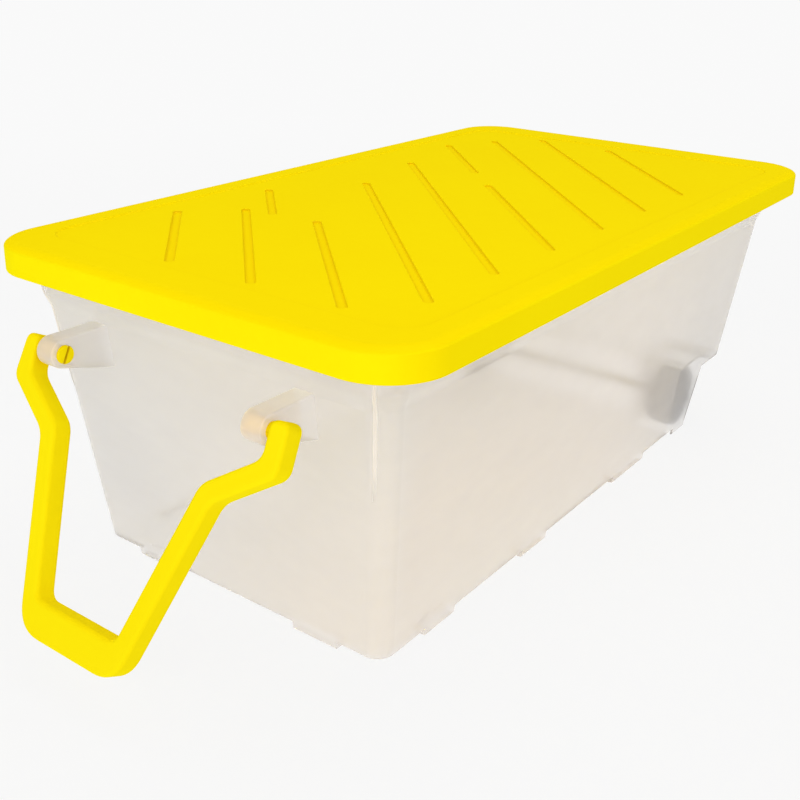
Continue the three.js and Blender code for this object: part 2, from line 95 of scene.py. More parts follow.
LID_HALF_X = lid_high[0]
LID_HALF_Y = lid_high[1]
LID_TOP = lid_high[2]
LID_BOTTOM = lid_low[2]
LID_RADIUS = 47
LID_WALL = 2.4
LID_CROWN = (10, 4.6)  # across and down, on the outside
LID_HOLLOW = (4.2, 4.2)
LID_DRAFT = 0.4
LID_FOOT_EDGE = 0.8
LOCATING_RIB = {"gap": 1.5, "thick": 1.8, "deep": 6, "radius": 26}
PANEL = {"half_x": 174, "half_y": 312, "radius": 24}
PANEL_SUNK = 1.0
PANEL_SLOPE = 1.6
GROOVE_WIDTH = 7
GROOVE_DEPTH = 1.8
GROOVE_FILLET = 0.8
GROOVE_RIDGE = 2
GROOVE_PITCH = 80
GROOVE_FIRST = -347
GROOVE_REACH_X = 147
GROOVE_REACH_Y = 298
# Far end of each groove, and for some a second run: where it starts and how far it is shifted.
GROOVES = [
    (-150, None),
    (-112, (-86, 31)),
    (-40, None),
    (-98, None),
    (-122, None),
    (-6, (-48, 0)),
    (-122, None),
    (-98, None),
    (0, None),
]

RIM_HALF_X = tub_high[0]
RIM_HALF_Y = 346.5
RIM_RADIUS = 40.5
RIM_LOW = 239.6
RIM_THICK = 2.2
RIM_FLANGE = 2.4
RIM_EDGE = 1.6
GUSSET = {"half": 1, "pitch_x": 80, "pitch_y": 92, "above": 6}
RIM_TOP = tub_high[2]

WELL = {"inner": 108, "front": 190, "rear": 270, "ceiling": 74}
WELL_ROUND = 5
RECESS_FRONT = 222
RECESS_CEILING = 61
RECESS_ROUND = 4
# The step up behind the wheels: its Y at the floor and at the recess's ceiling.
STEP_SKIRT = (231, 246)
STEP_WEB = (248, 256)
# Feet are pieces of one rail that follows the floor's edge: low and high X, low and high Y.
FEET = [(64, 106, -325, -288), (135, 175, -246, -208), (135, 175, -106, -66),
        (135, 175, 64, 130), (135, 175, 203, 250)]
FOOT_THICK = 12
FOOT_EDGE = 1.5
SADDLE = {"half": 12, "low": 14, "inner": 100, "rib_half": 1.5, "mouth": 7.2}
LUG = {"inner": 92, "outer": 109.5, "radius": 11, "drop": 26, "edge": 1.6}
PIN_RADIUS = 5.7
PIN_HEAD = 7
PIN_HEAD_THICK = 2.5
PIN_HOLLOW = 0.4
PIN_CORE = 0.9  # fills the hollow left along the pin's axis
PIN_SLIT = {"half": 1, "deep": 14}
CLEARANCE = 0.3

BAIL = [(119.6, -8), (121.2, 22), (78.5, 51), (44.5, 177)]
ARM_HALF = 7.6
GRIP_HALF = 13
BAIL_CORNER = 7
GRIP_CORNER = 20
BAIL_THICK = 17.4
BAIL_EDGE = 3.5
BAIL_REST = math.radians(27)

WHEEL = {"inner": 114, "outer": 138, "radius": 33, "hub": 10, "tread": 5, "web": 2}
WHEEL_GROOVE = {"half": 0.6, "deep": 0.5}
SPOKES = 6
SPOKE_HALF = 1.2
ROD_BORE = 4.3
CAP = {"radius": 8, "floor": 1.8, "dome_from": 2.5, "dome_inset": 3}

# ------------------------------------------------------------------ mesh helpers


def rect(half_x, front, rear, radius, z, steps=CORNER_STEPS):
    """Points of a rounded rectangle at height z, counter-clockwise."""
    corners = [
        (half_x - radius, rear - radius, 0),
        (radius - half_x, rear - radius, 1),
        (radius - half_x, radius - front, 2),
        (half_x - radius, radius - front, 3),
    ]
    points = []
    for x, y, turn in corners:
        for step in range(steps + 1):
            a = (turn + step / steps) * math.pi / 2
            points.append((x + radius * math.cos(a), y + radius * math.sin(a), z))
    return np.array(points)


def rounded(points, reach, steps):
    """A closed 2-D outline whose corners are rounded off by up to reach, one value for each corner."""
    points = [np.array(p, float) for p in points]
    result = []
    for i, corner in enumerate(points):
        before = points[i - 1]
        after = points[(i + 1) % len(points)]
        d_before = np.linalg.norm(before - corner)
        d_after = np.linalg.norm(after - corner)
        enter = corner + (before - corner) * min(reach[i], d_before / 2) / d_before
        leave = corner + (after - corner) * min(reach[i], d_after / 2) / d_after
        for t in np.linspace(0, 1, steps + 1 if reach[i] > 0 else 1):
            result.append((1 - t) ** 2 * enter + 2 * t * (1 - t) * corner + t * t * leave)
    return np.array(result)


def offset_outline(points, amount):
    """A closed counter-clockwise 2-D outline moved inwards by amount."""
    before = np.roll(points, 1, axis=0)
    after = np.roll(points, -1, axis=0)
    t1 = points - before
    t2 = after - points
    t1 /= np.linalg.norm(t1, axis=1)[:, None]
    t2 /= np.linalg.norm(t2, axis=1)[:, None]
    n = np.stack([-(t1 + t2)[:, 1], (t1 + t2)[:, 0]], axis=1)
    n /= np.linalg.norm(n, axis=1)[:, None]
    n1 = np.stack([-t1[:, 1], t1[:, 0]], axis=1)
    return points + n * (amount / np.maximum((n * n1).sum(1), 0.5))[:, None]


def quarter(steps=ARC_STEPS):
    """Angles of a quarter turn."""
    return [math.pi / 2 * i / steps for i in range(steps + 1)]


def new_object(name, verts, faces):
    """A mesh object from points in millimetres."""
    mesh = bpy.data.meshes.new(name)
    mesh.from_pydata([tuple(v) for v in np.asarray(verts) * MM], [], faces)
    mesh.update()
    obj = bpy.data.objects.new(name, mesh)
    bpy.context.scene.collection.objects.link(obj)
    return obj


def stack(name, rings, closed=False):
    """A solid through rings of points. A closed stack joins its last ring to its first."""
    count = len(rings[0])
    verts = np.concatenate(rings)
    faces = []
    levels = len(rings)
    for level in range(levels if closed else levels - 1):
        a0 = level * count
        b0 = ((level + 1) % levels) * count
        for i in range(count):
            j = (i + 1) % count
            faces.append((a0 + i, a0 + j, b0 + j, b0 + i))
    if not closed:
        faces.append(tuple(reversed(range(count))))
        faces.append(tuple(range((levels - 1) * count, levels * count)))
    obj = new_object(name, verts, faces)
    outward(obj)
    return obj


def outward(obj):
    """Joins points that lie together and turns every face outwards."""
    bm = bmesh.new()
    bm.from_mesh(obj.data)
    bmesh.ops.remove_doubles(bm, verts=bm.verts, dist=1e-7)
    bmesh.ops.recalc_face_normals(bm, faces=bm.faces)
    bm.to_mesh(obj.data)
    bm.free()


def block(name, low, high):
    """A box from its low and high corners."""
    ring = [(low[0], low[1]), (high[0], low[1]), (high[0], high[1]), (low[0], high[1])]
    return stack(name, [np.array([(x, y, z) for x, y in ring]) for z in (low[2], high[2])])


def prism_x(name, outline, x0, x1):
    """A 2-D outline in Y-Z, run along X."""
    return stack(name, [np.array([(x, y, z) for y, z in outline]) for x in (x0, x1)])


def revolve(name, profile, facets, centre):
    """A closed profile of (radius, x) pairs turned about an X axis through centre (y, z)."""
    cy, cz = centre
    rings = []
    for i in range(facets):
        a = 2 * math.pi * i / facets
        rings.append(
            np.array([(x, cy + r * math.cos(a), cz + r * math.sin(a)) for r, x in profile])
        )
    return stack(name, rings, closed=True)


def turned(name, profile, centre, facets=ROUND_STEPS):
    """A solid of discs along an X axis through centre (y, z), from (radius, x) pairs."""
    y, z = centre
    angles = [2 * math.pi * i / facets for i in range(facets)]
    rings = []
    for radius, x in profile:
        ring = [(x, y + radius * math.cos(a), z + radius * math.sin(a)) for a in angles]
        rings.append(np.array(ring))
    return stack(name, rings)


def combine(target, tool, operation):
    """Joins, cuts or intersects target with tool, and deletes the tool."""
    modifier = target.modifiers.new("combine", "BOOLEAN")
    modifier.operation = operation
    modifier.object = tool
    modifier.solver = "MANIFOLD"
    depsgraph = bpy.context.evaluated_depsgraph_get()
    result = bpy.data.meshes.new_from_object(target.evaluated_get(depsgraph))
    target.modifiers.clear()
    old = target.data
    if len(result.polygons) == 0:
        raise RuntimeError(f"{operation} of {target.name} with {tool.name} left nothing")
    target.data = result
    bpy.data.meshes.remove(old)
    bpy.data.objects.remove(tool)
    return target


def add(target, *tools):
    """Joins each tool to target."""
    for tool in tools:
        combine(target, tool, "UNION")
    return target


def cut(target, *tools):
    """Takes each tool away from target."""
    for tool in tools:
        combine(target, tool, "DIFFERENCE")
    return target


def mirrored(obj, name):
    """A copy of obj on the other side of the middle plane."""
    mesh = obj.data.copy()
    mesh.transform(Matrix.Scale(-1, 4, (1, 0, 0)))
    mesh.flip_normals()
    copy = bpy.data.objects.new(name, mesh)
    bpy.context.scene.collection.objects.link(copy)
    return copy


def finish_piece(obj, material, body, node):
    """Smooth shading with crisp edges, then the material, the body to ride on and the node replaced."""
    bm = bmesh.new()
    bm.from_mesh(obj.data)
    bmesh.ops.dissolve_degenerate(bm, dist=1e-6, edges=bm.edges)
    bm.to_mesh(obj.data)
    bm.free()
    mesh = obj.data
    mesh.polygons.foreach_set("use_smooth", [True] * len(mesh.polygons))
    mesh.set_sharp_from_angle(angle=math.radians(SHARP_ANGLE))
    weighted = obj.modifiers.new("weighted normals", "WEIGHTED_NORMAL")
    weighted.keep_sharp = True
    weighted.weight = 100
    mesh.materials.clear()
    mesh.materials.append(material)
    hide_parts(node)
    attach(obj, body)


# ------------------------------------------------------------------ node helpers


class Shader:
    """A small wrapper that keeps material code short."""

    def __init__(self, name):
        self.material = bpy.data.materials.new(name)
        self.material.use_nodes = True
        self.tree = self.material.node_tree
        self.tree.nodes.clear()
        self.out = self.node("OutputMaterial")
        self.place = self.node("TexCoord").outputs["Object"]

    def node(self, kind, **settings):
        """A new shader node with its settings made."""
        made = self.tree.nodes.new("ShaderNode" + kind)
        for key, value in settings.items():
            setattr(made, key, value)
        return made

    def feed(self, socket, value):
        """Links a socket to another, or gives it a colour or a number."""
        if isinstance(value, bpy.types.NodeSocket):
            self.tree.links.new(value, socket)
        elif isinstance(value, (tuple, list)) and len(value) == 3 and socket.type == "RGBA":
            socket.default_value = (*value, 1)
        else:
            socket.default_value = value

    def call(self, kind, inputs, output=0, **settings):
        """One output of a new node whose inputs have been fed."""
        made = self.node(kind, **settings)
        for key, value in inputs.items():
            self.feed(made.inputs[key], value)
        return made.outputs[output]

    def noise(self, scale, detail, rough=0.5, stretch=(1, 1, 1)):
        """A noise value, its pattern packed closer along an axis whose stretch is over 1."""
        vector = self.call("Mapping", {"Vector": self.place, "Scale": stretch})
        inputs = {"Vector": vector, "Scale": scale, "Detail": detail, "Roughness": rough}
        return self.call("TexNoise", inputs, "Fac")

    def math(self, operation, a, b=0.0):
        """The result of a sum, product or the like."""
        return self.call("Math", {0: a, 1: b}, operation=operation)

    def ramp(self, value, low, high, out_low=0.0, out_high=1.0):
        """A value from low to high turned into one from out_low to out_high."""
        inputs = {0: value, 1: low, 2: high, 3: out_low, 4: out_high}
        return self.call("MapRange", inputs)

    def smooth(self, value, low, high, out_low=0.0, out_high=1.0):
        """Like ramp, but easing in and out."""
        inputs = {0: value, 1: low, 2: high, 3: out_low, 4: out_high}
        return self.call("MapRange", inputs, interpolation_type="SMOOTHSTEP")

    def split(self, vector):
        """The X, Y and Z of a vector."""
        made = self.node("SeparateXYZ")
        self.feed(made.inputs[0], vector)
        return made.outputs

    def blend(self, factor, a, b):
        """A mix of two shaders."""
        made = self.node("MixShader")
        self.feed(made.inputs[0], factor)
        self.feed(made.inputs[1], a)
        self.feed(made.inputs[2], b)
        return made.outputs[0]

    def mix(self, factor, a, b):
        """A mix of two colours."""
        made = self.node("Mix", data_type="RGBA")
        self.feed(made.inputs[0], factor)
        self.feed(made.inputs[6], a)
        self.feed(made.inputs[7], b)
        return made.outputs[2]

    def between(self, factor, a, b):
        """A mix of two numbers."""
        return self.call("Mix", {0: factor, 2: a, 3: b}, data_type="FLOAT")

    def bump(self, height, strength, distance, normal=None):
        """The surface's normal, tilted by a height value."""
        inputs = {"Height": height, "Strength": strength, "Distance": distance}
        if normal is not None:
            inputs["Normal"] = normal
        return self.call("Bump", inputs)

    def edge(self, radius):
        """(0 on flat faces to 1 on edges, the normal with its edges rounded by radius)."""
        soft = self.call("Bevel", {"Radius": radius}, samples=4)
        true = self.node("NewGeometry").outputs["Normal"]
        made = self.node("VectorMath", operation="DOT_PRODUCT")
        self.feed(made.inputs[0], soft)
        self.feed(made.inputs[1], true)
        return self.ramp(made.outputs["Value"], 0.999, 0.93), soft

    def surface(self, socket):
        """The finished material."""
        self.feed(self.out.inputs["Surface"], socket)
        return self.material


# ------------------------------------------------------------------ materials


def darker(colour, share):
    """A colour with each of its channels multiplied by a share."""
    return tuple(c * k for c, k in zip(colour, share))


def moulded_yellow(name, side_tone, painted_shade_tone):
    """Satin coloured polypropylene with a fine moulded grain, faint scuffs and worn edges, plus painted
    shade: a darker, more orange tone on faces turned up or sideways, and darker colour in grooves and
    recesses.
    """
    s = Shader(name)
    edge, soft = s.edge(0.0007)
    cloud = s.noise(7, 3)
    speck = s.noise(160, 2)
    across, _, up = s.split(s.node("NewGeometry").outputs["Normal"])
    sideways = s.math("ABSOLUTE", across)
    # Painted shade: faces turned up, and less so faces turned sideways, take the darker, more orange
    # shaded tone.
    painted_facing_shade = s.math("MAXIMUM", s.smooth(up, 0.3, 0.95), s.smooth(sideways, 0.5, 0.95, 0, 0.7))
    tone = s.mix(painted_facing_shade, side_tone, painted_shade_tone)
    deep = s.mix(0.5, tone, darker(painted_shade_tone, (0.93, 0.84, 0.8)))
    tone = s.mix(s.smooth(cloud, 0.35, 0.7, 0, 0.28), tone, deep)
    tone = s.mix(s.ramp(speck, 0.3, 0.7, 0, 0.14), tone, deep)
    # Painted shade: ambient occlusion darkens grooves and recesses towards a deeper orange.
    open_air = s.call("AmbientOcclusion", {"Distance": 0.008}, "AO", samples=6)
    hollow = s.ramp(open_air, 0.98, 0.55, 0, 0.75)
    tone = s.mix(hollow, tone, darker(painted_shade_tone, (0.84, 0.7, 0.5)))
    wear = s.math("MULTIPLY", edge, s.ramp(s.noise(55, 4, 0.6), 0.5, 0.72))
    tone = s.mix(s.math("MULTIPLY", wear, 0.3), tone, (1.0, 0.93, 0.16))
    scratch = s.noise(60, 5, 0.65, stretch=(1, 14, 1))
    scuff = s.ramp(scratch, 0.62, 0.78)
    rough = s.math("ADD", s.ramp(cloud, 0.3, 0.7, 0.3, 0.38), s.math("MULTIPLY", scuff, 0.12))
    normal = s.bump(s.noise(1400, 2), 0.12, 0.00008, soft)
    skin = s.call("BsdfDiffuse", {"Color": tone, "Roughness": 0.3, "Normal": normal})
    shine = s.call("BsdfGlossy", {"Color": (1, 0.88, 0.05), "Roughness": rough, "Normal": normal})
    fresnel = s.call("Fresnel", {"IOR": 1.42, "Normal": normal})
    return s.surface(s.blend(s.math("MULTIPLY", fresnel, 0.25), skin, shine))


def frosted_plastic():
    """Cloudy polypropylene: part of the light scatters in the wall and part passes through softly. Its
    tint also carries painted light: painted shade towards the left, the rear and the top under the lid,
    painted light towards the bottom and a painted highlight on rounded corners.
    """
    s = Shader("frosted_plastic")
    cloud = s.noise(5, 3)
    streak = s.noise(3.2, 4, 0.6, stretch=(1, 1, 2.2))
    x, y, z = s.split(s.place)
    from_middle = s.math("ABSOLUTE", x)
    facing_x, facing_y, _ = s.split(s.node("NewGeometry").outputs["Normal"])
    # Painted highlight mask: high where the wall's normal turns round a rounded corner.
    corner_highlight = s.math("MINIMUM", s.math("ABSOLUTE", facing_x), s.math("ABSOLUTE", facing_y))
    warm = s.mix(s.smooth(cloud, 0.3, 0.7), (0.845, 0.745, 0.68), (0.855, 0.76, 0.7))
    cool = s.mix(s.smooth(y, -0.27, -0.32), warm, (0.855, 0.805, 0.785))
    # Painted shade: darker and greyer towards the left side, then towards the rear.
    tint = s.mix(s.smooth(x, 0.1, -0.12), cool, (0.74, 0.735, 0.76))
    tint = s.mix(s.smooth(y, 0.0, 0.3, 0, 0.85), tint, (0.69, 0.66, 0.65))
    # Painted shadow: darker near the top, under the lid's skirt.
    tint = s.mix(s.smooth(z, 0.1, 0.24, 0, 0.28), tint, (0.67, 0.65, 0.64))
    # Painted light: lighter towards the bottom.
    tint = s.mix(s.smooth(z, 0.08, 0.0, 0, 0.4), tint, (0.93, 0.88, 0.85))
    # Painted highlight: lighter, warmer tint on the rounded corners.
    tint = s.mix(s.smooth(corner_highlight, 0.1, 0.5, 0, 0.35), tint, (0.97, 0.9, 0.86))
    inside = s.node("Attribute", attribute_name="inside").outputs["Fac"]
    thick = s.node("Attribute", attribute_name="thick").outputs["Fac"]
    thick = s.math("MULTIPLY", thick, s.smooth(z, 0.14, 0.17))
    on_rib = s.smooth(from_middle, 0.115, 0.13)
    lug_end = s.smooth(y, -0.33, -0.37, 0.1, 0.65)
    thick = s.math("MULTIPLY", thick, s.math("MAXIMUM", on_rib, lug_end))
    tint = s.mix(s.math("MULTIPLY", thick, 0.85), tint, (0.99, 0.945, 0.925))
    normal = s.bump(s.noise(900, 2), 0.14, 0.00012)
    haze = s.smooth(streak, 0.3, 0.7, 0.16, 0.24)
    through = s.call("BsdfGlass", {"Color": (0.97, 0.965, 0.96), "Roughness": haze, "IOR": 1.12})
    body = s.call("BsdfDiffuse", {"Color": tint, "Roughness": 0.4, "Normal": normal})
    glow = s.call("BsdfTranslucent", {"Color": tint, "Normal": normal})
    milk = s.blend(0.5, body, glow)
    frost = s.smooth(streak, 0.3, 0.7, 0.37, 0.3)
    density = s.between(inside, frost, 0.08)
    density = s.between(thick, density, 0.72)
    wall = s.blend(density, through, milk)
    rough = s.smooth(cloud, 0.3, 0.7, 0.3, 0.38)
    shine = s.call("BsdfGlossy", {"Color": (1, 1, 1), "Roughness": rough, "Normal": normal})
    fresnel = s.call("Fresnel", {"IOR": 1.45, "Normal": normal})
    outside = s.math("SUBTRACT", 1.0, s.node("NewGeometry").outputs["Backfacing"])
    coat = s.blend(s.math("MULTIPLY", s.math("MULTIPLY", fresnel, 0.8), outside), wall, shine)
    shadow = s.call("BsdfTransparent", {"Color": (0.88, 0.87, 0.86)})
    return s.surface(s.blend(s.node("LightPath").outputs["Is Shadow Ray"], coat, shadow))


def wheel_plastic(name, base):
    """Dark satin plastic with a fine grain and pale dust on its edges."""
    s = Shader(name)
    edge, soft = s.edge(0.0006)
    cloud = s.noise(24, 4)
    dust = s.math("MULTIPLY", edge, s.ramp(s.noise(140, 4, 0.65), 0.4, 0.7))
    tone = s.mix(s.ramp(cloud, 0.35, 0.65), base, darker(base, (0.8, 0.8, 0.8)))
    tone = s.mix(s.math("MULTIPLY", dust, 0.45), tone, (0.42, 0.41, 0.39))
    normal = s.bump(s.noise(1500, 2), 0.2, 0.0001, soft)
    inputs = {
        "Base Color": tone,
        "Roughness": s.ramp(cloud, 0.3, 0.7, 0.48, 0.62),
        "Specular IOR Level": 0.4,
        "Normal": normal,
    }
    return s.surface(s.call("BsdfPrincipled", inputs))


def drawn_steel():
    """Zinc-plated drawn bar with lengthwise lines and faint dull patches."""
    s = Shader("drawn_steel")
    lines = s.noise(300, 3, 0.6, stretch=(0.02, 1, 1))
    patch = s.noise(40, 4, 0.6)
    tone = s.mix(s.ramp(patch, 0.4, 0.7), (0.62, 0.62, 0.63), (0.42, 0.42, 0.42))
    inputs = {
        "Base Color": tone,
        "Metallic": 1.0,
        "Roughness": s.ramp(patch, 0.3, 0.7, 0.26, 0.4),
        "Normal": s.bump(lines, 0.25, 0.0001),
    }
    return s.surface(s.call("BsdfPrincipled", inputs))


# ------------------------------------------------------------------ tub


def tub_size(z):
    """The tub's outside at a height, without its shoulder."""
    return {key: BASE[key] + (MOUTH[key] - BASE[key]) * z / MOUTH_Z for key in BASE}


def tub_ring(z, grow):
    """The tub's outline at a height, moved outwards by grow."""
    size = {key: value + grow for key, value in tub_size(z).items()}
    return rect(size["half_x"], size["front"], size["rear"], max(size["radius"], 1), z)


def swell(z):
    """How far the wall stands out at a height because of the soft shoulder."""
    t = np.clip((z - SHOULDER_Z) / SHOULDER_RISE, 0, 1)
    return SHOULDER_PROUD * (3 * t**2 - 2 * t**3)


def tub_body(name, grow, floor, top):
    """The tub as a filled solid, moved outwards by grow, with a rounded edge round its floor."""
    rings = []
    for a in quarter():
        z = floor + BASE_EDGE * (1 - math.cos(a))
        rings.append(tub_ring(z, grow - BASE_EDGE * (1 - math.sin(a))))
    for z in SHOULDER_HEIGHTS:
        rings.append(tub_ring(z, grow + swell(z)))
    rings.append(tub_ring(top, grow + SHOULDER_PROUD))
    return stack(name, rings)


def corner_rib(side, end):
    """A fine upright rib on one corner, from mid-height to the rim."""
    low = CORNER_RIB["low"]
    half = CORNER_RIB["half"]
    out = np.array([math.sin(CORNER_RIB["turn"]), math.cos(CORNER_RIB["turn"])])
    along = np.array([out[1], -out[0]])
    wall = "front" if end < 0 else "rear"
    rings = []
    for z in (low, low + CORNER_RIB["taper"], *SHOULDER_HEIGHTS, RIM_LOW + BITE):
        size = tub_size(z)
        centre = np.array([size["half_x"], size[wall]]) - size["radius"]
        skin = size["radius"] + swell(z)
        proud = CORNER_RIB["proud"] if z > low else 0.0
        profile = [(-half, -BITE)]
        for a in np.linspace(0, math.pi, 9):
            profile.append((-half * math.cos(a), proud * math.sin(a) ** 0.5))
        profile.append((half, -BITE))
        points = [centre + along * across + out * (skin + reach) for across, reach in profile]
        rings.append(np.array([(side * x, end * y, z) for x, y in points]))
    return stack("corner_rib", rings)


def slab(name, half_x, half_y, radius, low, high, edge=0.0):
    """A rounded rectangle with its top edge rounded by edge."""
    rings = [rect(half_x, half_y, half_y, radius, low)]
    if edge > 0:
        for a in quarter():
            inset = edge * (1 - math.cos(a))
            z = high - edge * (1 - math.sin(a))
            rings.append(rect(half_x - inset, half_y - inset, half_y - inset, radius - inset, z))
    else:
        rings.append(rect(half_x, half_y, half_y, radius, high))
    return stack(name, rings)


def rim():
    """Flange and turned-down lip, with gussets between the lip and the walls."""
    flange_under = RIM_TOP - RIM_FLANGE
    made = slab("rim", RIM_HALF_X, RIM_HALF_Y, RIM_RADIUS, RIM_LOW, RIM_TOP, RIM_EDGE)
    inner = [v - RIM_THICK for v in (RIM_HALF_X, RIM_HALF_Y, RIM_RADIUS)]
    cut(made, slab("rim_hollow", *inner, RIM_LOW - OVERRUN, flange_under))
    low = RIM_LOW + GUSSET["above"]
    high = flange_under + BITE
    half = GUSSET["half"]
    for k in range(-3, 4):
        y = k * GUSSET["pitch_y"]
        for side in (-1, 1):
            xs = sorted((side * MOUTH["half_x"], side * (inner[0] + BITE)))
            add(made, block("gusset", (xs[0], y - half, low), (xs[1], y + half, high)))
    for k in (-1.5, -0.5, 0.5, 1.5):
        x = k * GUSSET["pitch_x"]
        for end in (-1, 1):
            ys = sorted((end * MOUTH["rear"], end * (inner[1] + BITE)))
            add(made, block("gusset", (x - half, ys[0], low), (x + half, ys[1], high)))
    return made


def rounded_well(name, x0, x1, y0, y1, ceiling, radius):
    """A pocket open below, with rounded upright and upper edges."""
    half_x = (x1 - x0) / 2
    half_y = (y1 - y0) / 2
    centre = np.array([(x0 + x1) / 2, (y0 + y1) / 2, 0])
    bend = radius - 0.5
    levels = [(0, -OVERRUN)]
    levels += [(bend * (1 - math.cos(a)), ceiling - bend * (1 - math.sin(a))) for a in quarter()]
    rings = []
    for inset, z in levels:
        ring = rect(half_x - inset, half_y - inset, half_y - inset, radius - inset, z, 8)
        rings.append(ring + centre)
    return stack(name, rings)


def wells(grow):
    """Both wheel wells, moved outwards by grow."""
    outer = MOUTH["half_x"] + OVERRUN
    radius = WELL_ROUND + grow
    right = rounded_well(
        "well", WELL["inner"] - grow, outer, WELL["front"] - grow, WELL["rear"] + grow,
        WELL["ceiling"] + grow, radius,
    )
    return right, mirrored(right, "well")


def recess(half_x, grow):
    """The recess for the rod between the wheels, moved outwards by grow."""
    return rounded_well(
        "recess", -half_x, half_x, RECESS_FRONT - grow, MOUTH["rear"] + OVERRUN,
        RECESS_CEILING + grow, RECESS_ROUND + grow,
    )


def rear_step(step, x0, x1):
    """What is cut away behind the wheels, from one X to another."""
    low, high = step
    behind = MOUTH["rear"] + OVERRUN
    outline = [
        (behind, -OVERRUN), (behind, RECESS_CEILING), (high, RECESS_CEILING), (low, 0),
        (low, -OVERRUN),
    ]
    return prism_x("rear_step", outline, x0, x1)


def feet():
    """Feet under the front corners and the long sides, with softened lower edges."""
    rings = []
    for a in quarter(4):
        z = -foot_height + FOOT_EDGE * (1 - math.cos(a))
        rings.append(tub_ring(z, -FOOT_EDGE * (1 - math.sin(a))))
    rings.append(tub_ring(BASE_EDGE, 0))
    rail = stack("rail", rings)
    hollow = [tub_ring(z, -FOOT_THICK) for z in (-foot_height - BITE, BASE_EDGE + BITE)]
    cut(rail, stack("rail_hollow", hollow))
    keep = []
    for side in (-1, 1):
        for x0, x1, y0, y1 in FEET:
            xs = sorted((side * x0, side * x1))
            keep.append(block("keep", (xs[0], y0, -OVERRUN), (xs[1], y1, OVERRUN)))
    whole = add(keep[0], *keep[1:])
    combine(rail, whole, "INTERSECT")
    return rail


def lug(side):
    """One lug on the front wall: a plate with a round nose and softened side edges."""
    radius = LUG["radius"]
    edge = LUG["edge"]
    back = pivot_y + radius + 2 * OVERRUN
    outline = [(back, pivot_z + radius)]
    for i in range(25):
        a = math.pi / 2 + (0.85 * math.pi) * i / 24
        outline.append((pivot_y + radius * math.cos(a), pivot_z + radius * math.sin(a)))
    outline.append((back, pivot_z - LUG["drop"]))
    outline = np.array(outline)
    bend = [(edge * (1 - math.sin(a)), edge * (1 - math.cos(a))) for a in quarter(5)]
    levels = [(LUG["inner"] + deep, inset) for deep, inset in reversed(bend)]
    levels += [(LUG["outer"] - deep, inset) for deep, inset in bend]
    rings = []
    for x, inset in levels:
        ring = offset_outline(outline, inset)
        rings.append(np.array([(side * x, y, z) for y, z in ring]))
    return stack("lug", rings)


def mark_depth(obj):
    """Marks faces within the tub's outer skin as "inside" and those on lugs and ribs as "thick"."""
    mesh = obj.data
    flat = np.empty(len(mesh.polygons) * 3)
    mesh.polygons.foreach_get("center", flat)
    x, y, z = flat.reshape(-1, 3).T / MM
    skin = tub_size(z)
    half_y = (skin["front"] + skin["rear"]) / 2
    middle = (skin["rear"] - skin["front"]) / 2
    across = np.abs(x) - skin["half_x"] + skin["radius"]
    along = np.abs(y - middle) - half_y + skin["radius"]
    corner = np.hypot(np.maximum(across, 0), np.maximum(along, 0))
    beyond = corner + np.minimum(np.maximum(across, along), 0) - skin["radius"] - swell(z)
    marks = {
        "inside": (beyond < -WALL / 2) & (z > FLOOR / 2),
        "thick": (beyond > 0.2) & (z > BASE_EDGE) & (z < RIM_LOW),
    }
    for label, mark in marks.items():
        attribute = mesh.attributes.new(label, "FLOAT", "FACE")
        attribute.data.foreach_set("value", mark.astype(float))


def make_tub(material):
    """The tub: its shell, rim, lugs, ribs and feet, then the underside's wells, saddles and slots."""
    side = MOUTH["half_x"] + OVERRUN
    cavity = tub_body("cavity", -WALL, FLOOR, RIM_TOP + BITE)
    cut(cavity, *wells(WALL), recess(side, WALL))
    tub = tub_body("tub_shell", 0, 0, RIM_TOP)
    add(tub, rim(), lug(-1), lug(1))
    add(tub, *(corner_rib(side, end) for side in (-1, 1) for end in (-1, 1)))
    cut(tub, cavity)
    add(tub, feet())
    skin = stack("skin", [tub_ring(-OVERRUN, -WALL), tub_ring(MOUTH_Z, -WALL)])
    for well in wells(0):
        inside = skin.copy()
        inside.data = skin.data.copy()
        bpy.context.scene.collection.objects.link(inside)
        cut(tub, combine(well, inside, "INTERSECT"))
    bpy.data.objects.remove(skin)
    cut(tub, recess(WELL["inner"] - WALL, 0))
    web = WELL["inner"] + BITE
    cut(
        tub,
        rear_step(STEP_WEB, -side, side),
        rear_step(STEP_SKIRT, -side, -web),
        rear_step(STEP_SKIRT, web, side),
    )
    high = RECESS_CEILING + BITE
    for sign in (-1, 1):
        xs = sorted((sign * SADDLE["inner"], sign * WELL["inner"]))
        low = (xs[0], axle_y - SADDLE["half"], SADDLE["low"])
        add(tub, block("saddle", low, (xs[1], axle_y + SADDLE["half"], high)))
    rib = SADDLE["rib_half"]
    low = (-rib, RECESS_FRONT - BITE, SADDLE["low"])
    add(tub, block("rib", low, (rib, axle_y + SADDLE["half"], high)))
    half = SADDLE["mouth"] / 2
    bore = PIN_RADIUS + CLEARANCE
    cut(
        tub,
        turned("seat", [(ROD_BORE, -web), (ROD_BORE, web)], (axle_y, axle_z)),
        block("mouth", (-web, axle_y - half, -OVERRUN), (web, axle_y + half, axle_z)),
        turned("bores", [(bore, -BAIL[0][0]), (bore, BAIL[0][0])], (pivot_y, pivot_z)),
    )
    mark_depth(tub)
    finish_piece(tub, material, "box", "tub")


# ------------------------------------------------------------------ lid


def lid_ring(shrink, z):
    """The lid's outline at a height, moved inwards by shrink."""
    half_y = LID_HALF_Y - shrink
    return rect(LID_HALF_X - shrink, half_y, half_y, LID_RADIUS - shrink, z)


